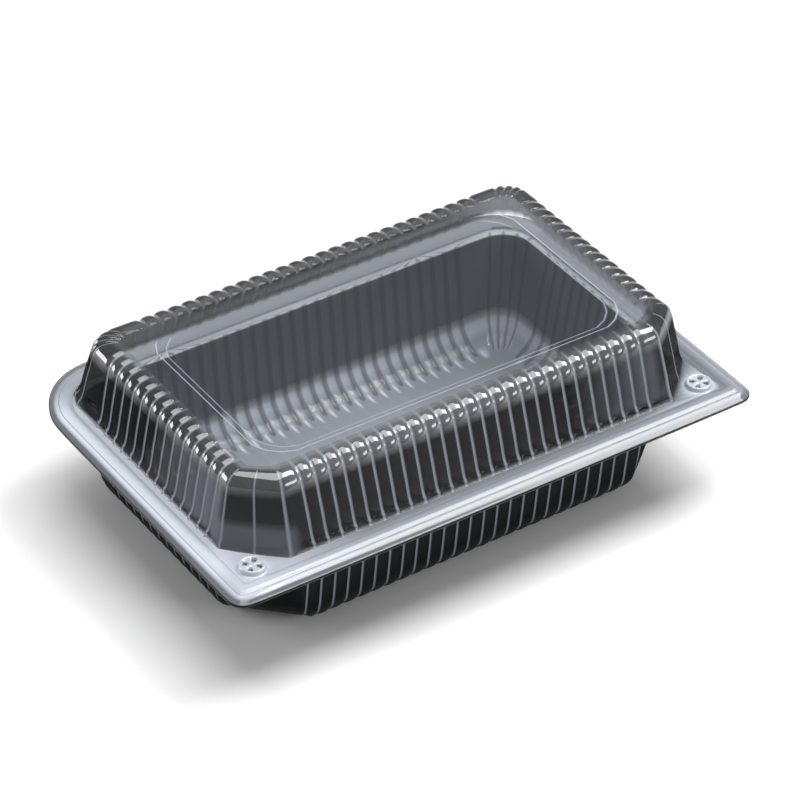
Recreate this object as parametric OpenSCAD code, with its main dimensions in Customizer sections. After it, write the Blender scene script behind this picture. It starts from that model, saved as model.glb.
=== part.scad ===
// Hinged food pack: a deep fluted tray and a domed fluted lid, vacuum formed as one
// clear sheet and folded over at the back edge. Both halves have a flat flange with a
// stiffening bead and a turned-down lip, and snap together at two buttons in front.
// Origin: the middle of the tray's foot print, on the surface that the pack stands on.

/* [Sheet] */
// Thickness of the formed sheet
sheet_t = 0.4; // [0.3:0.05:0.6]
// Air between the lid's flange and the tray's flange when the pack is shut
seat_gap = 0.25; // [0.2:0.05:0.4]

/* [Flange] */
// Length of the flange, from the left edge to the right edge
flange_l = 201; // [190:1:240]
// Width of the flange, from the front edge to the back of the hinge
flange_w = 138; // [130:1:170]
// Outer corner radius of the flange in front
front_r = 6; // [4:0.5:10]
// Outer corner radius of the flange beside the hinge
back_r = 25; // [18:0.5:28]
// Width of the turned-down lip round the flange
lip_w = 3.6; // [2.5:0.1:4.5]
// Height that the lip turns down
lip_drop = 1.7; // [0:0.1:2]
// Width of the stiffening bead inside the lip
bead_w = 4; // [3:0.1:5]
// Height of the stiffening bead
bead_h = 0.8; // [0:0.05:1]

/* [Tray] */
// Height of the tray, from its foot to the top of its flange
tray_h = 39; // [30:0.5:60]
// Flange between the sides of the flange and the tray's mouth
tray_band_x = 11.5; // [10:0.1:14]
// Flange between the front edge and the tray's mouth
tray_band_y = 13.6; // [12:0.1:16]
// How far the long walls lean in from the mouth to the heel
tray_lean_y = 3.5; // [2:0.1:6]
// How far the short walls lean in from the mouth to the heel
tray_lean_x = 4.8; // [2:0.1:6]
// Height of the heel, the sloped band between wall and floor
heel_h = 8.5; // [6:0.1:12]
// Width of the heel along the long walls
heel_y = 9; // [6:0.1:11]
// Width of the heel along the short walls
heel_x = 7; // [5:0.1:9]

/* [Lid] */
// Height of the lid, from the tray's flange to the top of the lid
lid_h = 26; // [20:0.5:45]
// Flange between the sides of the flange and the foot of the lid's dome
lid_band_x = 10.2; // [9:0.1:12]
// Flange between the front edge and the foot of the lid's dome
lid_band_y = 11.2; // [10:0.1:13]
// How far the long walls lean in from the foot to the shoulder
lid_lean_y = 6.4; // [2:0.1:7]
// How far the short walls lean in from the foot to the shoulder
lid_lean_x = 4.3; // [2:0.1:6]
// Radius of the beaded shoulder between wall and top
shoulder_r = 5.5; // [4:0.1:7]
// Depth of the panel pressed into the top of the lid
panel_drop = 0.8; // [0.4:0.1:1.5]
// Distance from the shoulder to that panel's short edges
panel_inset_x = 8.5; // [6:0.1:12]
// Distance from the shoulder to that panel's long edges
panel_inset_y = 4.9; // [4.6:0.1:9]

/* [Flutes] */
// Distance from one flute to the next
flute_pitch = 5.2; // [4.5:0.1:8]
// Depth of a flute in the tray's walls
tray_flute = 0.7; // [0.3:0.05:1]
// Depth of a flute in the lid's walls
lid_flute = 0.8; // [0.3:0.05:1]
// Depth of the notches between the beads on the lid's shoulder
bead_notch = 1; // [0.4:0.05:1.2]
// Height of those beads over the lid's flat top
bead_rise = 0.8; // [0.3:0.05:1]
// How far the beads' tips reach in over the flat top
bead_reach = 3.8; // [2.5:0.1:4.2]

/* [Corners] */
// Cut across each corner of the lid's dome
lid_corner = 16.6; // [13:0.1:18]
// Cut across each front corner of the tray's mouth, round the button
tray_front_corner = 17.2; // [14:0.1:19]
// Radius of each back corner of the tray's mouth
tray_back_corner = 12.5; // [9:0.1:15]

/* [Buttons] */
// Distance from a snap button to the side edge of the flange
button_x = 14; // [13.5:0.1:15]
// Distance from a snap button to the front edge of the flange
button_y = 13.7; // [13.5:0.1:15]
// Outer radius of the tray's snap button
button_r = 4; // [3:0.1:4.4]
// Height of a snap button over its flange
button_h = 1.6; // [1:0.1:2.5]

/* [Hinge] */
// Radius of the round bead that the lid folds about
hinge_r = 0.9; // [0.6:0.05:1.2]
// Air between the lid's back edge and the hinge bead
hinge_gap = 0.25; // [0.2:0.05:0.5]

/* [Hidden] */

// Where the pieces lie
half_l = flange_l / 2;
half_w = flange_w / 2;
hinge_y = half_w - hinge_r;
hinge_z = tray_h + seat_gap / 2;
fold_y = hinge_y - hinge_r - hinge_gap;
hinge_half = half_l - back_r - 1;
lid_flange_z = tray_h + seat_gap + sheet_t;

// Half sizes of the tray's mouth, heel and floor, and of the dome's foot, shoulder, flat top
// and panel
mouth = [half_l - tray_band_x, half_w - tray_band_y];
heel = mouth - [tray_lean_x, tray_lean_y];
floor_edge = heel - [heel_x, heel_y];
dome_foot = [half_l - lid_band_x, half_w - lid_band_y];
shoulder = dome_foot - [lid_lean_x, lid_lean_y];
flat_top = shoulder - [shoulder_r, shoulder_r];
panel = flat_top - [panel_inset_x, panel_inset_y];

// Flutes that fit between the corners, counted from the middle to one side
corner_keep = 6.2;
corner_margin = 0.8;
room_x = min(flat_top.x - corner_keep, floor_edge.x - corner_keep, mouth.x - tray_front_corner);
room_y = min(flat_top.y - corner_keep, floor_edge.y - corner_keep, mouth.y - tray_front_corner);
flutes_x = floor(room_x / flute_pitch);
flutes_y = floor(room_y / flute_pitch);
flute_end = [flutes_x, flutes_y] * flute_pitch;

// Small details of the form
ledge_h = 2;
ledge_in = 1.4;
flute_runout = 1.6;
tray_back_spread = 5.5;
lid_back_corner = 13;
heel_belly = 0.56;
floor_margin = 7;
floor_middle = floor_edge - [floor_margin, floor_margin];
panel_edge = 2.5;
panel_cut = 10;
sharp_r = 1.2;
hinge_joint = 0.5;
button_facets = 18;
crown_w = 1.5;
cap_over = sheet_t + 0.15;

// How the wall turns a corner: its facets, its bow (1 for an arc, 0 for a straight cut, less
// than 0 for a hollow one) and its share of a flute's depth
lid_front_bend = [2, 0.08, 0];
lid_back_bend = [4, 1, 0.8];
tray_front_bend = [4, -0.25, 0];
tray_back_bend = [6, 1, 0.5];

function mix(a, b, u) = a + (b - a) * u;
function reversed(list) = [for (i = [len(list) - 1:-1:0]) list[i]];
function joined(lists) = [for (list = lists) each list];
function is_groove(k) = k % 2 == 1;

// A level of a wall: its half sizes, its height, how far its grooves go in and down, and where
// its front and back corners start
function level(half, z, into, down, cut_front, cut_back) =
    [half, z, into, down, corner_start(half, cut_front), corner_start(half, cut_back)];
function corner_start(half, cut) = [
    max(half.x - cut, flute_end.x + corner_margin),
    max(half.y - cut, flute_end.y + corner_margin)];

// A fluted stretch of wall as [along, outwards, height]
function fluted_run(flutes, out, z, into, down) =
    [for (k = [0:4 * flutes])
        [(k / 2 - flutes) * flute_pitch,
         out - (is_groove(k) ? into : 0),
         z - (is_groove(k) ? down : 0)]];

// A corner in the quarter where x and y are positive, from the long wall to the short one
function corner_run(half, z, start, bend, into, down) =
    [for (i = [0:bend[0]])
        let (u = i / bend[0],
             chord = [mix(start.x, half.x, u), mix(half.y, start.y, u)],
             arc = start + [(half.x - start.x) * sin(90 * u), (half.y - start.y) * cos(90 * u)],
             p = chord + (arc - chord) * bend[1],
             share = is_groove(i) ? bend[2] : 0,
             away = (p - start) / norm(p - start) * into * share)
        [p.x - away.x, p.y - away.y, z - down * share]];
function mirrored(run, sx, sy) = [for (p = run) [p.x * sx, p.y * sy, p.z]];

// The whole loop of a level, against the clock from the left end of the front wall, moved by
// shift along the normal [outwards, upwards] of the section there
function wall_loop(lv, normal, shift, front_bend, back_bend) =
    let (out = normal.x * shift,
         half = lv[0] + [out, out],
         z = lv[1] + normal.y * shift,
         into = lv[2],
         down = lv[3],
         front_start = lv[4] + [1, 1] * out * (sqrt(2) - 1) * (1 - front_bend[1]),
         back_start = lv[5] + [1, 1] * out * (sqrt(2) - 1) * (1 - back_bend[1]),
         long = fluted_run(flutes_x, half.y, z, into, down),
         short = fluted_run(flutes_y, half.x, z, into, down),
         front = corner_run(half, z, front_start, front_bend, into, down),
         back = corner_run(half, z, back_start, back_bend, into, down))
    concat(
        [for (p = long) [p.x, -p.y, p.z]],
        mirrored(front, 1, -1),
        [for (p = short) [p.y, p.x, p.z]],
        reversed(mirrored(back, 1, 1)),
        [for (p = long) [-p.x, p.y, p.z]],
        mirrored(back, -1, 1),
        [for (p = short) [-p.y, -p.x, p.z]],
        reversed(mirrored(front, -1, -1)));

// Normal of the wall's section at each level, which keeps the sheet's thickness round a bend.
// The flange before the first level and the plate after the last one are both level.
function section(lv) = [(lv[0].x + lv[0].y) / 2, lv[1]];
function unit(v) = v / norm(v);
function face_normal(from, to) = let (d = unit(to - from)) [d.y, -d.x];
function section_normals(levels) =
    let (p = [for (lv = levels) section(lv)],
         n = len(p),
         run = concat([p[0] + [1, 0]], p, [p[n - 1] - [1, 0]]))
    [for (i = [1:n])
        let (before = face_normal(run[i - 1], run[i]), after = face_normal(run[i], run[i + 1]))
        (before + after) / (1 + before * after)];

// Flange: loops at a distance in from its outline, with rises that die out beside the hinge
function arc_run(centre, r, from, count) =
    [for (i = [0:count]) centre + r * [cos(from + 90 * i / count), sin(from + 90 * i / count)]];
function hinge_fade(y) = let (u = min(1, max(0, (fold_y - 1 - y) / (back_r - 2)))) u * u * (3 - 2 * u);
function rim_loop(z, inset, rise) =
    let (x = half_l - inset,
         front = half_w - inset,
         back = fold_y - inset,
         rf = max(front_r - inset, sharp_r),
         rb = max(back_r - inset, sharp_r),
         front_left = arc_run([rf - x, rf - front], rf, 180, 3),
         last = len(front_left) - 1,
         outline = concat(
             [front_left[last]],
             arc_run([x - rf, rf - front], rf, 270, 3),
             arc_run([x - rb, back - rb], rb, 0, 6),
             arc_run([rb - x, back - rb], rb, 90, 6),
             [for (i = [0:last - 1]) front_left[i]]))
    [for (p = outline) [p.x, p.y, z + rise * hinge_fade(p.y)]];
function rim_loops(z) = [
    rim_loop(z, 0, -lip_drop),
    rim_loop(z, lip_w * 0.35, -lip_drop * 0.55),
    rim_loop(z, lip_w * 0.7, -lip_drop * 0.12),
    rim_loop(z, lip_w, 0),
    rim_loop(z, lip_w + bead_w * 0.27, bead_h),
    rim_loop(z, lip_w + bead_w * 0.73, bead_h),
    rim_loop(z, lip_w + bead_w, 0)];

// Triangles between two loops of a sheet, a outside b, against the clock seen from above
function band(a, b, a0, b0) = len(a) == len(b) ? strip(len(a), a0, b0) : stitch(a, b, a0, b0);
function strip(n, a0, b0) = joined([
    for (i = [0:n - 1])
        let (j = (i + 1) % n)
        is_groove(i)
            ? [[a0 + i, a0 + j, b0 + i], [a0 + j, b0 + j, b0 + i]]
            : [[a0 + i, a0 + j, b0 + j], [a0 + i, b0 + j, b0 + i]]]);
function heading(p) = atan2(p.y, p.x);
function headings(loop, from) =
    [for (p = loop) heading(loop[0]) - from + (heading(p) - heading(loop[0]) + 360) % 360];
function after(list, i) = i < len(list) - 1 ? list[i + 1] : list[0] + 360;
function stitch(a, b, a0, b0) =
    let (from = heading(a[0]),
         ta = headings(a, from),
         tb = headings(b, from),
         na = len(a),
         nb = len(b))
    [for (s = [0, 0];
          s.x + s.y < na + nb;
          s = takes_a(s, ta, tb, na, nb) ? [s.x + 1, s.y] : [s.x, s.y + 1])
        takes_a(s, ta, tb, na, nb)
            ? [a0 + s.x % na, a0 + (s.x + 1) % na, b0 + s.y % nb]
            : [a0 + s.x % na, b0 + (s.y + 1) % nb, b0 + s.y % nb]];
function takes_a(s, ta, tb, na, nb) =
    s.y >= nb || (s.x < na && after(ta, s.x) <= after(tb, s.y));

// A formed sheet from its outer edge to its middle, as the loops of its upper and lower face
module formed_sheet(upper, lower) {
    loops = concat(upper, lower);
    starts = [for (i = 0, n = 0; i < len(loops); n = n + len(loops[i]), i = i + 1) n];
    m = len(upper);
    edge = len(upper[0]);
    upper_faces = joined([for (i = [0:m - 2]) band(loops[i], loops[i + 1], starts[i], starts[i + 1])]);
    lower_faces = joined([
        for (i = [m:2 * m - 2]) band(loops[i], loops[i + 1], starts[i], starts[i + 1])]);
    edge_faces = strip(edge, starts[m], 0);
    upper_plate = [for (i = [0:len(upper[m - 1]) - 1]) starts[m - 1] + i];
    lower_plate = [for (i = [0:len(lower[m - 1]) - 1]) starts[2 * m - 1] + i];
    polyhedron(
        points = joined(loops),
        faces = concat(
            [for (f = upper_faces) reversed(f)],
            [reversed(upper_plate)],
            lower_faces,
            [lower_plate],
            [for (f = edge_faces) reversed(f)]),
        convexity = 6);
}

// Levels of the tray's inner face, from the mouth to the floor
tray_levels = [
    level(mouth, tray_h, tray_flute, 0, tray_front_corner, tray_back_corner),
    level(heel, heel_h, tray_flute, 0,
        tray_front_corner, tray_back_corner + tray_back_spread),
    level(mix(heel, floor_edge, 1 - heel_belly), mix(heel_h, sheet_t, heel_belly),
        tray_flute, -tray_flute,
        tray_front_corner, tray_back_corner + tray_back_spread),
    level(floor_edge, sheet_t, tray_flute, -tray_flute,
        tray_front_corner, tray_back_corner + tray_back_spread),
    level(floor_edge - [flute_runout, flute_runout], sheet_t, 0, 0,
        tray_front_corner, tray_back_corner + tray_back_spread)];

// Levels of the lid's outer face, from the foot of the dome to its flat top
lid_levels = concat(
    [level(dome_foot, lid_flange_z, 0, 0, lid_corner, lid_back_corner),
     level(dome_foot - [ledge_in, ledge_in], lid_flange_z + ledge_h, lid_flute, 0,
         lid_corner, lid_back_corner),
     level(shoulder, tray_h + lid_h - shoulder_r, lid_flute, 0, lid_corner, lid_back_corner)],
    [for (a = [30:30:90])
        level(shoulder - [1, 1] * shoulder_r * (1 - cos(a)),
            tray_h + lid_h - shoulder_r * (1 - sin(a)),
            bead_notch * cos(a), bead_notch * sin(a), lid_corner, lid_back_corner)],
    [level(flat_top - [bead_reach, bead_reach], tray_h + lid_h - bead_rise, 0, 0,
        lid_corner, lid_back_corner)]);

function tray_loops(shift) =
    let (normals = section_normals(tray_levels))
    concat(
        rim_loops(tray_h + shift),
        [for (i = [0:len(tray_levels) - 1])
            wall_loop(tray_levels[i], normals[i], shift, tray_front_bend, tray_back_bend)],
        [panel_loop(floor_middle, sheet_t + shift)]);
function lid_loops(shift) =
    let (normals = section_normals(lid_levels),
         top = tray_h + lid_h - bead_rise + shift)
    concat(
        rim_loops(lid_flange_z + shift),
        [for (i = [0:len(lid_levels) - 1])
            wall_loop(lid_levels[i], normals[i], shift, lid_front_bend, lid_back_bend)],
        [panel_loop(panel, top), panel_loop(panel - [panel_edge, panel_edge], top - panel_drop)]);

// A plain loop with cut corners: the panel in the top of the lid, and the middle of the floor
function panel_loop(half, z) =
    let (x = half.x, y = half.y, c = panel_cut)
    [[c - x, -y, z], [x - c, -y, z], [x, c - y, z], [x, y - c, z],
     [x - c, y, z], [c - x, y, z], [-x, y - c, z], [-x, c - y, z]];

// A hollow button pressed up from a flange, with a pit in its crown
module button(r, pit_r) {
    pit_z = button_h / 4;
    rotate_extrude($fn = button_facets)
        polygon([
            [r - sheet_t, -sheet_t], [r, -sheet_t], [r, button_h], [pit_r, button_h],
            [pit_r, pit_z], [0, pit_z], [0, pit_z - sheet_t], [pit_r + sheet_t, pit_z - sheet_t],
            [pit_r + sheet_t, button_h - sheet_t], [r - sheet_t, button_h - sheet_t]]);
}
module at_buttons(z) {
    for (side = [-1, 1])
        translate([side * (half_l - button_x), button_y - half_w, z])
            children();
}
module with_buttons(z, r, pit_r) {
    difference() {
        children();
        at_buttons(z)
            cylinder(h = 4 * sheet_t, r = r - sheet_t / 2, center = true, $fn = button_facets);
    }
    at_buttons(z)
        button(r, pit_r);
}

// Tray with its flange and the bead of the hinge
module tray() {
    color([0.62, 0.66, 0.7, 0.6]) {
        with_buttons(tray_h, button_r, button_r - crown_w)
            formed_sheet(tray_loops(0), tray_loops(-sheet_t));
        translate([-hinge_half, fold_y - hinge_joint, tray_h - sheet_t])
            cube([2 * hinge_half, hinge_y - fold_y + hinge_joint, sheet_t]);
        translate([-hinge_half, hinge_y, hinge_z])
            rotate([0, 90, 0])
                cylinder(h = 2 * hinge_half, r = hinge_r, $fn = 32);
    }
}

// Lid with its own flange
module lid() {
    color([0.72, 0.76, 0.8, 0.6])
        with_buttons(lid_flange_z, button_r + cap_over, button_r - crown_w - cap_over)
            formed_sheet(lid_loops(0), lid_loops(-sheet_t));
}

tray();
lid();
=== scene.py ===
import math

import bmesh
import bpy
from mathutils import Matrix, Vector


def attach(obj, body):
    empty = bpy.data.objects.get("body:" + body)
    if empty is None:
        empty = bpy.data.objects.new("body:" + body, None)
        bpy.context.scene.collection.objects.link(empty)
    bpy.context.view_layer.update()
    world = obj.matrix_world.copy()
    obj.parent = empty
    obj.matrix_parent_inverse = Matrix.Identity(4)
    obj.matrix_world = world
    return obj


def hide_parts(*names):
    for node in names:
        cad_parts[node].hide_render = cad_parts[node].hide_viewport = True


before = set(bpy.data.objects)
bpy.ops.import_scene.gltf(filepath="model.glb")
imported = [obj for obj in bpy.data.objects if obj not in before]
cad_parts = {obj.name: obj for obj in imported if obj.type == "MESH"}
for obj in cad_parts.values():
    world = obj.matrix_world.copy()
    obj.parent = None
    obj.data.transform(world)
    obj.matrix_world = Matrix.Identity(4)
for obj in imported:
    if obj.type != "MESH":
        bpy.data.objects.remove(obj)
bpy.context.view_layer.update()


# ---------------------------------------------------------------------------------------
# Lid: the domed half of the pack. It is vacuum formed from clear sheet 0.4 mm thick. Its
# flange has a turned-down lip and a stiffening bead; its steep walls are fluted, and each
# flute curls over the shoulder and ends on the flat top in a rounded tip.

mm = 0.001
same = 1e-6  # lengths closer than this count as the same
near = 1e-5  # room left round the ends of the walls' straight runs


def pick(test):
    """Selects the vertices for which test(vertex, row) is true, with the edges between them."""
    bm = bmesh.from_edit_mesh(bpy.context.edit_object.data)
    row = bm.verts.layers.int["row"]
    for v in bm.verts:
        v.select = bool(test(v, v[row]))
    bm.select_mode = {"VERT"}
    bm.select_flush_mode()
    bmesh.update_edit_mesh(bpy.context.edit_object.data)


def pick_marked(kind, low, high):
    """Selects the ridges (1) of the cut corners or the wells (2) of the buttons by their rows."""
    bm = bmesh.from_edit_mesh(bpy.context.edit_object.data)
    row, ridge = bm.verts.layers.int["row"], bm.verts.layers.int["ridge"]
    for v in bm.verts:
        v.select = v[ridge] == kind and low <= v[row] <= high


def mark(name, value):
    """Writes a value, or value(vertex), into a layer of the selected vertices."""
    bm = bmesh.from_edit_mesh(bpy.context.edit_object.data)
    layers = bm.verts.layers
    layer = layers.int.get(name) or layers.float.get(name)
    for v in bm.verts:
        if v.select:
            v[layer] = value(v) if callable(value) else value
    bmesh.update_edit_mesh(bpy.context.edit_object.data)


def begin_sheet(name):
    """Starts an empty mesh in edit mode with the layers that the sheet's making needs."""
    if bpy.context.mode != "OBJECT":
        bpy.ops.object.mode_set(mode="OBJECT")
    bpy.ops.object.select_all(action="DESELECT")
    bpy.ops.mesh.primitive_plane_add(size=1)
    sheet = bpy.context.active_object
    sheet.name = sheet.data.name = name
    bpy.ops.object.mode_set(mode="EDIT")
    bpy.ops.mesh.select_mode(type="VERT")
    bpy.ops.mesh.select_all(action="SELECT")
    bpy.ops.mesh.delete(type="VERT")
    bm = bmesh.from_edit_mesh(sheet.data)
    for layer in ("row", "ridge"):
        bm.verts.layers.int.new(layer)
    for layer in ("groove", "line", "tone", "cover", "cover_behind", "gloss"):
        bm.verts.layers.float.new(layer)
    bmesh.update_edit_mesh(sheet.data)
    return sheet


def rectangle(row, x, front, back, z):
    """Adds a plane with these edges, as the given row, and returns its edges."""
    middle = (front + back) / 2
    bpy.ops.mesh.select_all(action="DESELECT")
    bpy.ops.mesh.primitive_plane_add(size=2, location=(0, middle, z))
    bpy.ops.transform.resize(value=(x, (back - front) / 2, 1), center_override=(0, middle, z))
    mark("row", row)
    return x, front, back


def cut_corners(edges, row, in_front, size, segments, bow):
    """Cuts the front or the back corners of a rectangle. A bow of 0.5 is round, less is
    flatter, and under 0.25 the cut is hollow."""
    x, front, back = edges
    end = front if in_front else back
    pick(lambda v, r: r == row and abs(abs(v.co.x) - x) < same and abs(v.co.y - end) < same)
    bpy.ops.mesh.bevel(offset=size, offset_type="OFFSET", segments=segments, profile=bow,
                       affect="VERTICES", clamp_overlap=False)


def rim_loop(row, x, front, back, z, front_r, back_r):
    """One loop of the flange: a rectangle with its front and back corners rounded. The long
    edges and the left one get points of their own, for the looks that change along them."""
    edges = rectangle(row, x, front, back, z)
    splits = (-50 * mm, 50 * mm)
    for split in splits:
        pick(lambda v, r: r == row)
        bpy.ops.mesh.bisect(plane_co=(split, 0, z), plane_no=(1, 0, 0))
    cut_corners(edges, row, True, front_r, 4, 0.5)
    cut_corners(edges, row, False, back_r, 10, 0.5)
    pick(lambda v, r: r == row)
    bpy.ops.mesh.delete(type="ONLY_FACE")
    for split in splits:
        pick(lambda v, r: r == row and abs(v.co.x - split) < same)
        bpy.ops.mesh.delete(type="EDGE")
    pick(lambda v, r: r == row and v.co.x < same - x)
    bpy.ops.mesh.subdivide(number_cuts=3)
    mark("row", row)


def bridge(a, b):
    """Joins the loops of two rows with a strip of faces."""
    pick(lambda v, r: r in (a, b))
    bpy.ops.mesh.bridge_edge_loops()


def flatten_at_hinge(rows, z, fold, back_r):
    """Lets the lip and the bead die out round the back corners, so the fold stays flat."""
    bm = bmesh.from_edit_mesh(bpy.context.edit_object.data)
    row = bm.verts.layers.int["row"]
    for y in sorted({round(v.co.y, 6) for v in bm.verts if v[row] in rows}):
        u = min(1, max(0, (fold - 1 * mm - y) / (back_r - 2 * mm)))
        if u < 1:
            pick(lambda v, r: r in rows and abs(v.co.y - y) < 2 * same)
            bpy.ops.transform.resize(value=(1, 1, max(u * u * (3 - 2 * u), 1e-4)),
                                     center_override=(0, 0, z))


def make_rim(first, x, front, fold, z, front_r, back_r, steps):
    """The flange from its edge inwards, as loops at (inset, rise), bridged one to the next."""
    smallest_r = 1.2 * mm
    for i, (inset, rise) in enumerate(steps):
        rim_loop(first + i, x - inset, front + inset, fold - inset, z + rise,
                 max(front_r - inset, smallest_r), max(back_r - inset, smallest_r))
        if i:
            bridge(first + i - 1, first + i)
    flatten_at_hinge(range(first, first + len(steps)), z, fold, back_r)


def fluted_loop(row, x, y, z, flutes_x, flutes_y, pitch, front_cut, back_cut):
    """The foot or mouth of a fluted wall: its straight runs are divided six times a flute."""
    edges = rectangle(row, x, -y, y, z)
    run_x, run_y = flutes_x * pitch, flutes_y * pitch
    for co, no in (((-run_x, 0, z), (1, 0, 0)), ((run_x, 0, z), (1, 0, 0)),
                   ((0, -run_y, z), (0, 1, 0)), ((0, run_y, z), (0, 1, 0))):
        pick(lambda v, r: r == row)
        bpy.ops.mesh.bisect(plane_co=co, plane_no=no)
    cut_corners(edges, row, True, *front_cut)
    cut_corners(edges, row, False, *back_cut)
    pick(lambda v, r: r == row)
    bpy.ops.mesh.delete(type="ONLY_FACE")
    pick(lambda v, r: r == row and abs(v.co.x) < run_x + near and abs(v.co.y) < run_y + near)
    bpy.ops.mesh.delete(type="VERT")
    for side in (-1, 1):
        pick(lambda v, r: r == row and abs(v.co.y - side * y) < same
             and abs(v.co.x) < run_x + near)
        bpy.ops.mesh.subdivide(number_cuts=2 * flutes_x - 1)
        bpy.ops.mesh.subdivide(number_cuts=5)
        mark("row", row)
        pick(lambda v, r: r == row and abs(v.co.x - side * x) < same
             and abs(v.co.y) < run_y + near)
        bpy.ops.mesh.subdivide(number_cuts=2 * flutes_y - 1)
        bpy.ops.mesh.subdivide(number_cuts=5)
        mark("row", row)


def next_level(row, run, half, dx, dy, dz):
    """Draws the wall's last loop on to its next level: inwards by dx and dy and up by dz. The
    straight runs move as they are, and each corner draws in towards the ends of its runs."""
    pick(lambda v, r: r == row - 1)
    bpy.ops.mesh.extrude_edges_move(TRANSFORM_OT_translate={"value": (0, 0, dz)})
    mark("row", row)
    end_x, end_y = run[0] + near, run[1] + near
    for side in (-1, 1):
        pick(lambda v, r: r == row and side * v.co.x > end_x and abs(v.co.y) < end_y)
        bpy.ops.transform.translate(value=(-side * dx, 0, 0))
        pick(lambda v, r: r == row and side * v.co.y > end_y and abs(v.co.x) < end_x)
        bpy.ops.transform.translate(value=(0, -side * dy, 0))
        for end in (-1, 1):
            pick(lambda v, r: r == row and side * v.co.x > end_x and end * v.co.y > end_y)
            bpy.ops.transform.resize(
                value=(1 - dx / (half[0] - run[0]), 1 - dy / (half[1] - run[1]), 1),
                center_override=(side * run[0], end * run[1], 0))
    return half[0] - dx, half[1] - dy


def press_grooves(depths):
    """Presses the grooves between the flutes in, by a depth for each row."""
    bm = bmesh.from_edit_mesh(bpy.context.edit_object.data)
    groove = bm.verts.layers.float["groove"]
    shares = sorted({round(v[groove], 3) for v in bm.verts} - {0.0})
    for row, depth in depths.items():
        for share in shares:
            pick(lambda v, r: r == row and abs(v[groove] - share) < 1e-3)
            bpy.ops.transform.shrink_fatten(value=-depth * share)


def fold_crease(test, value):
    """Keeps edges crisp when the shape is rounded. The test is told the rows of the edge's
    two ends and whether both ends are marked as ridges."""
    bm = bmesh.from_edit_mesh(bpy.context.edit_object.data)
    row, ridge = bm.verts.layers.int["row"], bm.verts.layers.int["ridge"]
    crease = bm.edges.layers.float.get("crease_edge") or bm.edges.layers.float.new("crease_edge")
    for e in bm.edges:
        a, b = e.verts
        if test(a[row], b[row], a[ridge] and b[ridge]):
            e[crease] = value
    bmesh.update_edit_mesh(bpy.context.edit_object.data)


def make_button(first, x, y, z, loops, well_depth):
    """A snap button: a round crown with four wells, pressed up out of the flange."""
    well_loops, well_half_angle = (6, 7), 18
    bpy.ops.mesh.select_all(action="DESELECT")
    bpy.ops.mesh.primitive_circle_add(vertices=32, radius=loops[0][0], location=(x, y, z),
                                      fill_type="NOTHING")
    mark("row", first)
    for i, (radius, rise) in enumerate(loops[1:], 1):
        pick(lambda v, r: r == first + i - 1)
        bpy.ops.mesh.extrude_edges_move(
            TRANSFORM_OT_translate={"value": (0, 0, rise - loops[i - 1][1])})
        share = radius / loops[i - 1][0]
        bpy.ops.transform.resize(value=(share, share, 1), center_override=(x, y, z))
        mark("row", first + i)
    bpy.ops.mesh.edge_face_add()
    bpy.ops.mesh.poke()

    def off_diagonal(v):
        turn = abs(math.degrees(math.atan2(v.co.y - y, v.co.x - x)))
        return abs(abs(turn - 90) - 45)

    for i in well_loops:
        pick(lambda v, r: r == first + i and off_diagonal(v) < well_half_angle)
        bpy.ops.transform.translate(value=(0, 0, -well_depth))
        mark("ridge", 2)


def fill_between(rows):
    """Closes the flat sheet that lies between these loops, and keeps it flat when rounded."""
    pick(lambda v, r: r in rows)
    bpy.ops.mesh.fill(use_beauty=True)
    fold_crease(lambda a, b, ridge: a in rows and b in rows, 1.0)


def paint(*bands):
    """Marks bands of rows with how the sheet looks there: how pale, how much it hides from
    its formed side and from behind, and how glossy."""
    for (first_row, last_row), *looks in bands:
        pick(lambda v, r: first_row <= r <= last_row)
        for name, value in zip(("tone", "cover", "cover_behind", "gloss"), looks):
            mark(name, value)


def finish_sheet(sheet, thickness):
    """Rounds the formed shape, and gives the sheet its thickness and a second material on
    the far side."""
    for _ in ("formed side", "far side"):
        sheet.data.materials.append(None)
    pick(lambda v, r: True)
    bpy.ops.mesh.normals_make_consistent(inside=False)
    bpy.ops.object.mode_set(mode="OBJECT")
    bpy.ops.object.shade_smooth()
    rounding = sheet.modifiers.new("rounding", "SUBSURF")
    rounding.levels = rounding.render_levels = 1
    rounding.boundary_smooth = "PRESERVE_CORNERS"
    bpy.ops.object.modifier_apply(modifier="rounding")
    gauge = sheet.modifiers.new("gauge", "SOLIDIFY")
    gauge.thickness, gauge.offset, gauge.material_offset = thickness, -1, 1
    bpy.ops.object.modifier_apply(modifier="gauge")
    bpy.ops.object.mode_set(mode="EDIT")
    bpy.ops.mesh.select_mode(type="FACE")
    bm = bmesh.from_edit_mesh(sheet.data)
    for face in bm.faces:
        face.select = abs(face.normal.z) > 0.9998
    bmesh.update_edit_mesh(sheet.data)
    bpy.ops.mesh.faces_shade_flat()
    bpy.ops.object.mode_set(mode="OBJECT")


# Each loop of points that a sheet is drawn through has a number, its row. They count from
# the flange's edge inwards, up or down the wall, over the panel, and in each button.
rim_row, wall_row, panel_row, button_rows = 1, 20, 50, (70, 90)
button_end = button_rows[1] + 8

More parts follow.
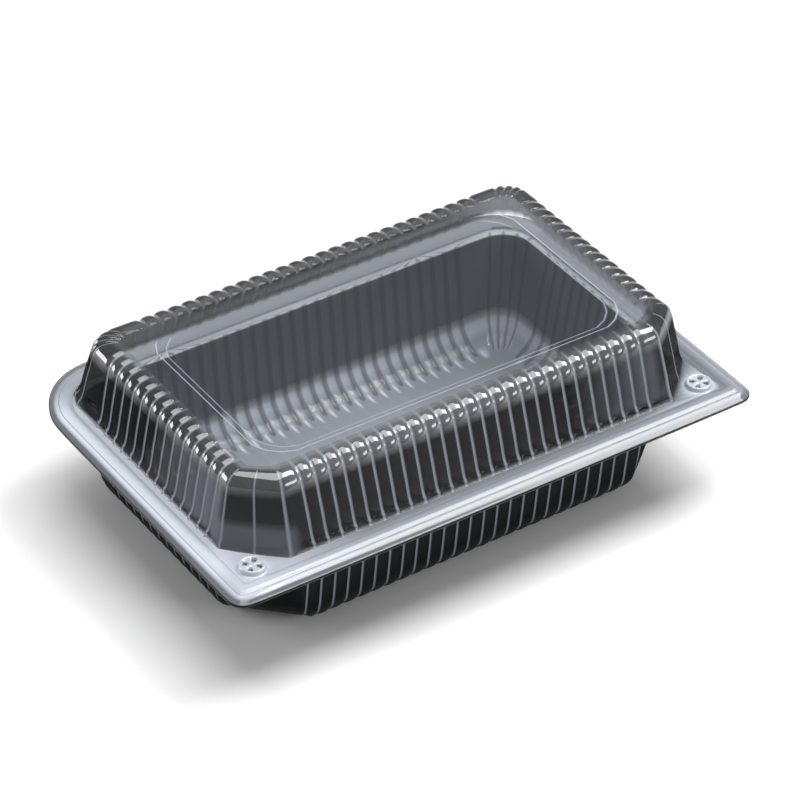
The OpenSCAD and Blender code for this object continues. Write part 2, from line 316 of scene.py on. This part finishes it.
# what the two halves share: the sheet, the flutes' pitch and number each way from the
# middle, the flange's edges, and its profile as (inset, rise) over the lip and the bead
sheet_t = 0.4 * mm
pitch, flutes = 5.2 * mm, (13, 7)
run = (flutes[0] * pitch, flutes[1] * pitch)
edge_x, edge_front, fold = 100.5 * mm, -69 * mm, 66.95 * mm
rim_front_r, rim_back_r = 6 * mm, 25 * mm
rim_steps = [(i * mm, h * mm) for i, h in (
    (0, -1.7), (0.35, -1.55), (1.3, -0.9), (2.5, -0.2), (3.5, 0), (3.8, 0.1), (4.6, 0.79),
    (6.5, 0.8), (7.4, 0.12), (7.7, 0.05), (8.2, 0))]
rim_end = rim_row + len(rim_steps) - 1
button_at = (86.5 * mm, -55.3 * mm)
groove_profile = [1.0, 0.3, 0.05, 0.0, 0.05, 0.3]
hold = 0.4 * mm  # a level strip round the wall that keeps the fold at its foot tight


def on_run_x(v):
    """Whether a point lies between the ends of the long walls' straight runs."""
    return abs(v.co.x) < run[0] + near


def on_run_y(v):
    """The same for the short walls."""
    return abs(v.co.y) < run[1] + near


def groove_share(v):
    """How deep the sheet is pressed in here, within one flute, on a straight run."""
    along, limit = (v.co.x, run[0]) if on_run_x(v) else (v.co.y, run[1])
    return groove_profile[round((along + limit) / pitch * 6 + 3) % 6]


def corner_share(wall, radius, strength):
    """The same along the quarter circles of the back corners, which hold four flutes each."""
    def share(v):
        turn = math.degrees(math.atan2(v.co.y - (wall[1] - radius),
                                       abs(v.co.x) - (wall[0] - radius)))
        return groove_profile[round(turn / 3.75 + 3) % 6] * strength
    return share


# the lid's flange, and the loop that its wall starts from; a corner's cut is given as its
# size, its number of segments and its bow
lid_z = 39.65 * mm
foot = (90.3 * mm, 57.8 * mm)
lid = begin_sheet("lid_shell")
make_rim(rim_row, edge_x, edge_front, fold, lid_z, rim_front_r, rim_back_r, rim_steps)
wall = (foot[0] + hold, foot[1] + hold)
front_cut, back_cut = (16.6 * mm, 8, 0.27), (13 * mm, 24, 0.5)
fluted_loop(wall_row, *wall, lid_z, *flutes, pitch, front_cut, back_cut)
pick(lambda v, r: r == wall_row and (on_run_x(v) or on_run_y(v)))
mark("groove", groove_share)
pick(lambda v, r: r == wall_row and v.co.y > 0 and not on_run_x(v) and not on_run_y(v))
mark("groove", corner_share(wall, back_cut[0], 0.85))


def off_ridge(v):
    """How far a point of a front corner lies from its three ridges: two ends and the middle."""
    across = abs(abs(v.co.x) - abs(v.co.y) - foot[0] + foot[1])
    return min(across, abs(across - front_cut[0]))


pick(lambda v, r: r == wall_row and v.co.y < 0 and not on_run_x(v) and not on_run_y(v)
     and off_ridge(v) < 0.1 * mm)
mark("ridge", 1)

# the wall, level by level: inwards in x and y, up, and the depth of its grooves
shoulder = 5.5 * mm
levels = [(hold, hold, 0, 0),
          (0.25 * mm, 0.25 * mm, 1.8 * mm, 0),
          (0.75 * mm, 0.75 * mm, 0.5 * mm, 0.8 * mm),
          (1.05 * mm, 1.77 * mm, 6.45 * mm, 0.85 * mm),
          (0.08 * mm, 0.14 * mm, 0.5 * mm, 0.85 * mm),
          (2.17 * mm, 3.49 * mm, 10.6 * mm, 0.9 * mm)]
for a, b in ((0, 22.5), (22.5, 45), (45, 67.5), (67.5, 90)):
    inward = shoulder * (math.cos(math.radians(a)) - math.cos(math.radians(b)))
    rise = shoulder * (math.sin(math.radians(b)) - math.sin(math.radians(a)))
    levels.append((inward, inward, rise, 1.0 * mm))
levels += [(1.6 * mm, 1.6 * mm, 0, 0.85 * mm),
           (1.3 * mm, 1.3 * mm, -0.3 * mm, 0.5 * mm),
           (0.8 * mm, 0.8 * mm, -0.5 * mm, 0),
           (0.5 * mm, 0.5 * mm, 0, 0)]
half = wall
for row, (dx, dy, dz, depth) in enumerate(levels, wall_row + 1):
    half = next_level(row, run, half, dx, dy, dz)
last = wall_row + len(levels)
pick(lambda v, r: r >= wall_row)
bpy.ops.mesh.normals_make_consistent(inside=False)
press_grooves({row: depth for row, (*_, depth) in enumerate(levels, wall_row + 1) if depth})

# the panel pressed into the flat top
top_z = lid_z + sum(level[2] for level in levels)
for row, (inset, drop) in enumerate(((-0.4, 0), (0, -0.01), (0.35, -0.12), (2.1, -0.7),
                                     (2.5, -0.79), (2.9, -0.8)), panel_row):
    edges = rectangle(row, 70 * mm - inset * mm, -39.5 * mm + inset * mm,
                      38.5 * mm - inset * mm, top_z + drop * mm)
    cut_corners(edges, row, True, 10 * mm, 3, 0.4)
    cut_corners(edges, row, False, 10 * mm, 3, 0.4)
    pick(lambda v, r: r == row)
    bpy.ops.mesh.delete(type="ONLY_FACE")
    if row > panel_row:
        bridge(row - 1, row)
panel_end = panel_row + 5
fill_between((panel_end,))
fill_between((last, panel_row))
fold_crease(lambda a, b, ridge: panel_row <= min(a, b) and max(a, b) <= panel_end, 1.0)

# the snap buttons, as loops of a radius and a height
crown = [(r * mm, h * mm) for r, h in (
    (4.95, 0), (4.6, 0.05), (4.45, 1.3), (4.15, 1.6), (3.75, 1.6), (3.5, 1.35), (2.8, 1.3),
    (1.9, 1.3), (1.0, 1.35))]
for side, first in zip((-1, 1), button_rows):
    make_button(first, side * button_at[0], button_at[1], lid_z, crown, 1.1 * mm)
fill_between((rim_end, wall_row, *button_rows))
fold_crease(lambda a, b, ridge: ridge and a != b and wall_row < a < last, 0.75)
fold_crease(lambda a, b, ridge: a == b == wall_row + 1, 0.8)

# how the sheet looks: its rows, then tone, cover, cover from behind and gloss
# the tones are painted light and shade: painted shade on the walls, painted highlights on the
# folds round the panel and on the buttons
paint(((1, 1), 0, 0.95, 0.9, 0.1),       # the lip's cut edge
      ((2, 3), 0.18, 0.9, 0.9, 0.6),     # the lip
      ((4, 20), 0.3, 0.8, 0.6, 1),       # the flange and its bead
      ((21, 21), 0.04, 0.85, 0.3, 0.4),  # the fold at the wall's foot
      ((22, 23), 0, 0.95, 0.1, 0.1),     # the low step over it and its ledge
      ((24, 24), 0, 0.95, 0.1, 0.05),    # the wall's lower part
      ((25, 26), 0, 0.95, 0.95, 0.05),   # its upper part
      ((27, 30), 0.02, 0.9, 0.9, 1),     # the shoulder
      ((31, 32), 0.1, 0.5, 0.3, 0.8),    # the flutes' tips
      ((33, 34), 0.17, 0.2, 0.1, 0.1),   # the flat border
      ((50, 55), 0.17, 0.2, 0.1, 0.1),   # the panel
      ((51, 51), 0.6, 0.75, 0.3, 0.5),   # the upper fold round the panel
      ((54, 54), 0.5, 0.6, 0.3, 0.5),    # the lower one
      ((70, 98), 0.6, 0.95, 0.7, 1))     # the buttons


def ramp_up(value, low, high):
    """0 up to low, 1 from high on, in millimetres."""
    return min(1, max(0, (value / mm - low) / (high - low)))


# behind and on the right the flat border hides more of what lies under it; its painted tone,
# painted shade and light, is darkest in the middle of the back and gets paler towards its ends,
# as are the panel's folds there
pick(lambda v, r: r in (last - 1, last, panel_row) and (v.co.y > 35 * mm or v.co.x > 65 * mm))
mark("tone", lambda v: 0.02 + 0.31 * ramp_up(v.co.x, 45, 70) + 0.15 * ramp_up(-v.co.x, 45, 70))
mark("cover", lambda v: 0.5 - 0.1 * ramp_up(v.co.x, 45, 70) - 0.3 * ramp_up(-v.co.x, 45, 70))
pick(lambda v, r: r in (panel_row + 1, panel_row + 4) and v.co.y > 35 * mm)
mark("tone", 0.15)
mark("cover", 0.3)

# fine pale lines, painted highlights: the folds at the foot of the flange's bead, and the front
# corners' ridges
pick(lambda v, r: r in (5, 10))
mark("line", 1)
pick_marked(1, wall_row + 1, 30)
mark("line", 1)
# the buttons' wells are painted dark: painted shade
pick_marked(2, button_rows[0], button_end)
mark("tone", 0)
mark("cover", 1)


def flange_painted_light(v):
    """Painted light on the flange: it is palest down its left side, a painted reflection, and
    paler at the back than in front. Its bead is a little paler than the flange along the front, a
    painted highlight."""
    left = ramp_up(-v.co.x, 40, 90)
    front = 0.3 + 0.3 * ramp_up(v.co.y, -69, -64) + 0.4 * ramp_up(v.co.y, -60, -38)
    back = ramp_up(v.co.y, 30, 65)
    bead = 0.2 * (1 - left) * ramp_up(-v.co.y, 58, 63)
    return 0.12 + 0.88 * left * front * (1 - 0.85 * ramp_up(v.co.y, 43, 58)) + 0.2 * back + bead


pick(lambda v, r: 4 <= r <= wall_row)
mark("tone", flange_painted_light)
pick(lambda v, r: 2 <= r <= 9 and v.co.y < -62 * mm)
mark("gloss", 0.45)

# painted light: the shoulder in front, the front left corner's foot, the left wall towards the
# front and the front wall towards the right are painted paler
pick(lambda v, r: 27 <= r <= 30 and v.co.y < -run[1] and on_run_x(v))
mark("tone", 0.09)
pick(lambda v, r: 22 <= r <= 24 and v.co.y < -run[1] and v.co.x < 0 and not on_run_x(v))
mark("tone", 0.1)
pick(lambda v, r: 23 <= r <= 26 and v.co.x < 0 and not on_run_x(v) and on_run_y(v))
mark("tone", lambda v: 0.14 * ramp_up(-v.co.y, -5, 35))
pick(lambda v, r: 23 <= r <= 26 and v.co.y < 0 and not on_run_y(v) and on_run_x(v))
mark("tone", lambda v: 0.08 * ramp_up(v.co.x, 35, 65))
finish_sheet(lid, sheet_t)
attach(lid, "lid")
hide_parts("lid")


# ---------------------------------------------------------------------------------------
# Tray: the deep half of the pack, formed in the same sheet as the lid. Its mouth is cut
# back in a hollow curve round each snap button, its fluted walls lean in, and a sloped,
# fluted heel carries them on to the flat floor.

tray_z = 39 * mm
mouth = (89 * mm, 55.4 * mm)
tray = begin_sheet("tray_shell")
make_rim(rim_row, edge_x, edge_front, fold, tray_z, rim_front_r, rim_back_r, rim_steps)
wall = (mouth[0] + hold, mouth[1] + hold)
front_cut, back_cut = (17.2 * mm, 6, 0.19), (12.5 * mm, 24, 0.5)
fluted_loop(wall_row, *wall, tray_z, *flutes, pitch, front_cut, back_cut)
pick(lambda v, r: r == wall_row and (on_run_x(v) or on_run_y(v)))
mark("groove", groove_share)
pick(lambda v, r: r == wall_row and v.co.y > 0 and not on_run_x(v) and not on_run_y(v))
mark("groove", corner_share(wall, back_cut[0], 0.7))
levels = [(hold, hold, 0, 0),
          (0.25 * mm, 0.25 * mm, -0.5 * mm, 0),
          (0.2 * mm, 0.15 * mm, -1.2 * mm, 0.6 * mm),
          (2.1 * mm, 1.5 * mm, -14 * mm, 0.7 * mm),
          (2.2 * mm, 1.55 * mm, -14 * mm, 0.7 * mm),
          (0.65 * mm, 0.7 * mm, -2.2 * mm, 0.75 * mm),
          (1.0 * mm, 1.1 * mm, -1.9 * mm, 0.8 * mm),
          (2.0 * mm, 2.5 * mm, -2.5 * mm, 0.8 * mm),
          (2.0 * mm, 2.6 * mm, -1.5 * mm, 0.8 * mm),
          (1.4 * mm, 2.15 * mm, -0.8 * mm, 0.6 * mm),
          (1.6 * mm, 1.6 * mm, 0, 0.25 * mm),
          (3.0 * mm, 3.0 * mm, 0, 0)]
half = wall
for row, (dx, dy, dz, depth) in enumerate(levels, wall_row + 1):
    half = next_level(row, run, half, dx, dy, dz)
last = wall_row + len(levels)
pick(lambda v, r: r >= wall_row)
bpy.ops.mesh.normals_make_consistent(inside=False)
press_grooves({row: -depth for row, (*_, depth) in enumerate(levels, wall_row + 1) if depth})

# lower down, the front corners are cut straight across, and wider than at the mouth
widths = [w * mm for w in (17.3, 17.4, 18.9, 20.5, 20.7, 21, 21, 21, 21, 21, 21)]
half = mouth
for row, (dx, dy, *_), width in zip(range(wall_row + 2, last + 1), levels[1:], widths):
    half = half[0] - dx, half[1] - dy
    reach = half[0] + half[1] - width
    for side in (-1, 1):
        centre = (side * half[0], half[0] - reach, 0)
        pick(lambda v, r: r == row and side * v.co.x - v.co.y > reach)
        bpy.ops.transform.rotate(value=math.radians(side * 45), orient_axis="Z",
                                 center_override=centre)
        bpy.ops.transform.resize(value=(1, 0, 1), center_override=centre)
        bpy.ops.transform.rotate(value=math.radians(-side * 45), orient_axis="Z",
                                 center_override=centre)
fill_between((last,))

socket = [(r * mm, h * mm) for r, h in (
    (4.6, 0), (4.05, 0.05), (3.9, 1.0), (3.6, 1.3), (3.2, 1.3), (2.9, 1.05), (2.4, 1.0),
    (1.7, 1.0), (1.0, 1.05))]
for side, first in zip((-1, 1), button_rows):
    make_button(first, side * button_at[0], button_at[1], tray_z, socket, 1.0 * mm)
fill_between((rim_end, wall_row, *button_rows))
fold_crease(lambda a, b, ridge: a == b == wall_row + 1, 0.8)

# the tones are painted light and shade: the wall near black, the heel paler above than below, the
# floor a little darker still
paint(((1, 3), 0, 0.95, 0.95, 0.3),      # the lip
      ((4, 21), 0.5, 0.95, 0.95, 1),     # the flange and its bead
      ((22, 25), 0.06, 1, 1, 0.1),       # the wall
      ((26, 27), 0.65, 0.95, 1, 0.2),    # the heel's upper part
      ((28, 30), 0.42, 0.95, 1, 0.3),    # its lower part
      ((31, 32), 0.36, 0.95, 1, 0.2),    # the floor
      ((70, 98), 0.5, 0.95, 0.95, 1))    # the buttons

# no gloss right under the mouth, and a pale dot painted where each flute ends on the floor, a
# painted highlight
pick(lambda v, r: r in (22, 23))
mark("gloss", 0)
groove = bmesh.from_edit_mesh(tray.data).verts.layers.float["groove"]
pick(lambda v, r: r in (30, 31) and v[groove] < 0.01
     and (abs(v.co.x) < run[0] or abs(v.co.y) < run[1]))
mark("tone", 1)
# the buttons' wells are painted dark: painted shade
pick_marked(2, button_rows[0], button_end)
mark("tone", 0)

# the grooves' painted pale lines stop at the foot of the heel
pick(lambda v, r: r > 30)
mark("groove", 0)
finish_sheet(tray, sheet_t)
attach(tray, "tray")
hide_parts("tray")


# ---------------------------------------------------------------------------------------
# Hinge: the crease that joins the two halves is pressed into a narrow round bead, with a
# strip of the tray's sheet running into it. The lid folds over on it.

hinge_l, hinge_r = 149 * mm, 0.9 * mm
strip_w, strip_at = 1.6 * mm, (0, 67.3 * mm, 38.8 * mm)
bpy.ops.mesh.primitive_cylinder_add(vertices=32, radius=hinge_r, depth=hinge_l,
                                    location=(0, 68.1 * mm, 39.125 * mm),
                                    rotation=(0, math.pi / 2, 0))
hinge = bpy.context.active_object
hinge.name = hinge.data.name = "hinge_bead"
bpy.ops.object.transform_apply(location=True, rotation=True, scale=True)
bpy.ops.object.mode_set(mode="EDIT")
bpy.ops.mesh.select_mode(type="FACE")
bm = bmesh.from_edit_mesh(hinge.data)
for face in bm.faces:
    face.select = abs(face.normal.x) > 0.9
bmesh.update_edit_mesh(hinge.data)
bpy.ops.mesh.bevel(offset=0.3 * mm, segments=3, affect="EDGES")
bpy.ops.mesh.select_all(action="DESELECT")
bpy.ops.mesh.primitive_cube_add(size=1, location=strip_at)
bpy.ops.transform.resize(value=(hinge_l, strip_w, sheet_t), center_override=strip_at)
bpy.ops.object.mode_set(mode="OBJECT")
bpy.ops.object.shade_smooth()
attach(hinge, "tray")
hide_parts("tray")


# ---------------------------------------------------------------------------------------
# Clear plastic, drawn as a thin smoke-grey sheet whose darkness is painted shade. Steep walls
# are painted near black and the flats paler and more see-through; the tight folds between the
# flutes are painted as fine pale lines, a painted highlight.

def new_group(name, inputs, outputs):
    """An empty node group with these sockets, and its input and output nodes."""
    group = bpy.data.node_groups.new(name, "ShaderNodeTree")
    for socket_name, kind in inputs:
        group.interface.new_socket(name=socket_name, in_out="INPUT", socket_type=kind)
    for socket_name, kind in outputs:
        group.interface.new_socket(name=socket_name, in_out="OUTPUT", socket_type=kind)
    return group, group.nodes.new("NodeGroupInput"), group.nodes.new("NodeGroupOutput")


def feed(links, socket, value):
    """Links an output to a socket, or sets the socket to a plain value."""
    if isinstance(value, bpy.types.NodeSocket):
        links.new(value, socket)
    else:
        socket.default_value = value


def attribute(nodes, name):
    """What the sheet's points were marked with."""
    node = nodes.new("ShaderNodeAttribute")
    node.attribute_name = name
    return node.outputs["Fac"]


def ramp(nodes, links, value, low, high, to_low=0.0, to_high=1.0):
    """Maps a value's range to another, held at its ends."""
    node = nodes.new("ShaderNodeMapRange")
    for name, number in (("Value", value), ("From Min", low), ("From Max", high),
                         ("To Min", to_low), ("To Max", to_high)):
        feed(links, node.inputs[name], number)
    return node.outputs["Result"]


def noise(nodes, links, scale, detail):
    """Noise over the object's own coordinates."""
    coords = nodes.new("ShaderNodeTexCoord")
    texture = nodes.new("ShaderNodeTexNoise")
    texture.inputs["Scale"].default_value = scale
    texture.inputs["Detail"].default_value = detail
    links.new(coords.outputs["Object"], texture.inputs["Vector"])
    return texture.outputs["Fac"]


def mix_colours(nodes, links, share, a, b):
    """Goes from colour a to colour b as the share goes from 0 to 1."""
    node = nodes.new("ShaderNodeMix")
    node.data_type = "RGBA"
    for socket, value in ((node.inputs["Factor"], share), (node.inputs[6], a),
                          (node.inputs[7], b)):
        feed(links, socket, value)
    return node.outputs[2]


sheet_look, g_in, g_out = new_group(
    "formed_sheet",
    [("Dark", "NodeSocketColor"), ("Pale", "NodeSocketColor"), ("Line", "NodeSocketColor"),
     ("Behind", "NodeSocketFloat"), ("Groove Start", "NodeSocketFloat"),
     ("Groove Full", "NodeSocketFloat"), ("Line Share", "NodeSocketFloat")],
    [("Base Color", "NodeSocketColor"), ("Alpha", "NodeSocketFloat"),
     ("Coat Weight", "NodeSocketFloat"), ("Roughness", "NodeSocketFloat"),
     ("Normal", "NodeSocketVector")])
nodes, links = sheet_look.nodes, sheet_look.links
lines = nodes.new("ShaderNodeMath")
lines.operation = "MAXIMUM"
links.new(ramp(nodes, links, attribute(nodes, "groove"), g_in.outputs["Groove Start"],
               g_in.outputs["Groove Full"], 0.0, g_in.outputs["Line Share"]), lines.inputs[0])
links.new(ramp(nodes, links, attribute(nodes, "line"), 0.78, 0.95), lines.inputs[1])
plain = mix_colours(nodes, links, attribute(nodes, "tone"), g_in.outputs["Dark"],
                    g_in.outputs["Pale"])
links.new(mix_colours(nodes, links, lines.outputs[0], plain, g_in.outputs["Line"]),
          g_out.inputs["Base Color"])
cover = nodes.new("ShaderNodeMix")
links.new(g_in.outputs["Behind"], cover.inputs["Factor"])
links.new(attribute(nodes, "cover"), cover.inputs[2])
links.new(attribute(nodes, "cover_behind"), cover.inputs[3])
links.new(cover.outputs[0], g_out.inputs["Alpha"])
links.new(attribute(nodes, "gloss"), g_out.inputs["Coat Weight"])
grain = noise(nodes, links, 90, 3)
links.new(ramp(nodes, links, grain, 0.3, 0.7, 0.06, 0.14), g_out.inputs["Roughness"])
bump = nodes.new("ShaderNodeBump")
bump.inputs["Strength"].default_value = 0.12
bump.inputs["Distance"].default_value = 0.3 * mm
links.new(noise(nodes, links, 60, 2), bump.inputs["Height"])
links.new(bump.outputs["Normal"], g_out.inputs["Normal"])


def clear_plastic(name, behind, dark, pale, line, grooves=(0.45, 0.8, 1)):
    """One face of the plastic sheet: a Principled shader that is only seen from its front.
    The grooves' lines start and are full at the first two shares of a groove's depth, and
    cover as much as the third says."""
    material = bpy.data.materials.new(name)
    material.use_nodes = True
    nodes, links = material.node_tree.nodes, material.node_tree.links
    shader = nodes["Principled BSDF"]
    look = nodes.new("ShaderNodeGroup")
    look.node_tree = sheet_look
    for socket, value in (("Behind", behind), ("Dark", dark), ("Pale", pale), ("Line", line),
                          ("Groove Start", grooves[0]), ("Groove Full", grooves[1]),
                          ("Line Share", grooves[2])):
        look.inputs[socket].default_value = value
    for socket in ("Base Color", "Roughness", "Coat Weight", "Normal"):
        links.new(look.outputs[socket], shader.inputs[socket])
    side = nodes.new("ShaderNodeNewGeometry")
    front = nodes.new("ShaderNodeMath")
    front.operation = "SUBTRACT"
    front.inputs[0].default_value = 1
    links.new(side.outputs["Backfacing"], front.inputs[1])
    seen = nodes.new("ShaderNodeMath")
    seen.operation = "MULTIPLY"
    links.new(look.outputs["Alpha"], seen.inputs[0])
    links.new(front.outputs[0], seen.inputs[1])
    links.new(seen.outputs[0], shader.inputs["Alpha"])
    shader.inputs["Specular IOR Level"].default_value = 0
    shader.inputs["Coat Roughness"].default_value = 0.05
    shader.inputs["Coat IOR"].default_value = 1.9
    return material


# each half has a lit and a shaded copy of its look: the lid's inside and the tray's outside are
# painted darker, painted shade
near_black = (0.004, 0.0045, 0.0055, 1)
lid_outside = clear_plastic("lid_outside", 0, near_black, (0.75, 0.81, 0.91, 1),
                            (0.18, 0.2, 0.22, 1))
lid_inside = clear_plastic("lid_inside", 1, near_black, (0.2, 0.22, 0.25, 1),
                           (0.03, 0.033, 0.037, 1))
tray_inside = clear_plastic("tray_inside", 0, (0.025, 0.026, 0.028, 1), (0.76, 0.83, 0.93, 1),
                            (0.012, 0.013, 0.015, 1), (0.1, 0.45, 0.6))
tray_outside = clear_plastic("tray_outside", 1, near_black, (0.02, 0.021, 0.024, 1),
                             (0.17, 0.18, 0.2, 1))
for sheet, faces in ((lid, (lid_outside, lid_inside)), (tray, (tray_inside, tray_outside))):
    for i, material in enumerate(faces):
        sheet.data.materials[i] = material
hinge.data.materials.append(tray_inside)


# ---------------------------------------------------------------------------------------
# Setting: a pale matt floor under a plain white surround, lit by a large softbox overhead
# and three smaller ones: low behind on the left, high on the right, and low in front.

bpy.ops.object.select_all(action="DESELECT")
bpy.ops.mesh.primitive_plane_add(size=6)
floor = bpy.context.active_object
floor.name = floor.data.name = "floor"
paper = bpy.data.materials.new("floor_paper")
paper.use_nodes = True
shader = paper.node_tree.nodes["Principled BSDF"]
shader.inputs["Base Color"].default_value = (0.88, 0.88, 0.88, 1)
shader.inputs["Roughness"].default_value = 0.8
floor.data.materials.append(paper)

world = bpy.data.worlds.new("surround")
world.use_nodes = True
surround = world.node_tree.nodes["Background"]
surround.inputs["Color"].default_value = (1, 1, 1, 1)
surround.inputs["Strength"].default_value = 0.28
scene = bpy.context.scene
scene.world = world


def softbox(name, place, width, height, power):
    """A rectangular studio light, aimed at the middle of the pack."""
    aim = Vector((0, 0, 0.04))
    light = bpy.data.lights.new(name, "AREA")
    light.shape, light.size, light.size_y, light.energy = "RECTANGLE", width, height, power
    lamp = bpy.data.objects.new(name, light)
    bpy.context.collection.objects.link(lamp)
    lamp.location = place
    lamp.rotation_euler = (aim - Vector(place)).to_track_quat("-Z", "Y").to_euler()


softbox("top_softbox", (0, 0, 1.6), 1.2, 1.2, 19)
softbox("left_softbox", (-0.8, 0.75, 0.25), 0.6, 0.4, 6)
softbox("right_softbox", (0.53, -0.12, 0.92), 0.5, 0.5, 8)
softbox("front_softbox", (0.55, -0.95, 0.4), 0.7, 0.3, 4)

camera_data = bpy.data.cameras.new("camera")
camera = bpy.data.objects.new("camera", camera_data)
bpy.context.collection.objects.link(camera)
looked_at, distance = Vector((0, 0, 39 * mm)), 1288.3 * mm
away = Vector((-0.4415, -0.6704, 0.5963)).normalized()
camera.location = looked_at + away * distance
camera.rotation_euler = (-away).to_track_quat("-Z", "Y").to_euler()
camera_data.sensor_width = 36
camera_data.lens = 176
camera_data.shift_x, camera_data.shift_y = 0.0161, -0.0138
scene.camera = camera
scene.view_settings.view_transform = "Standard"
scene.cycles.transparent_max_bounces = 24
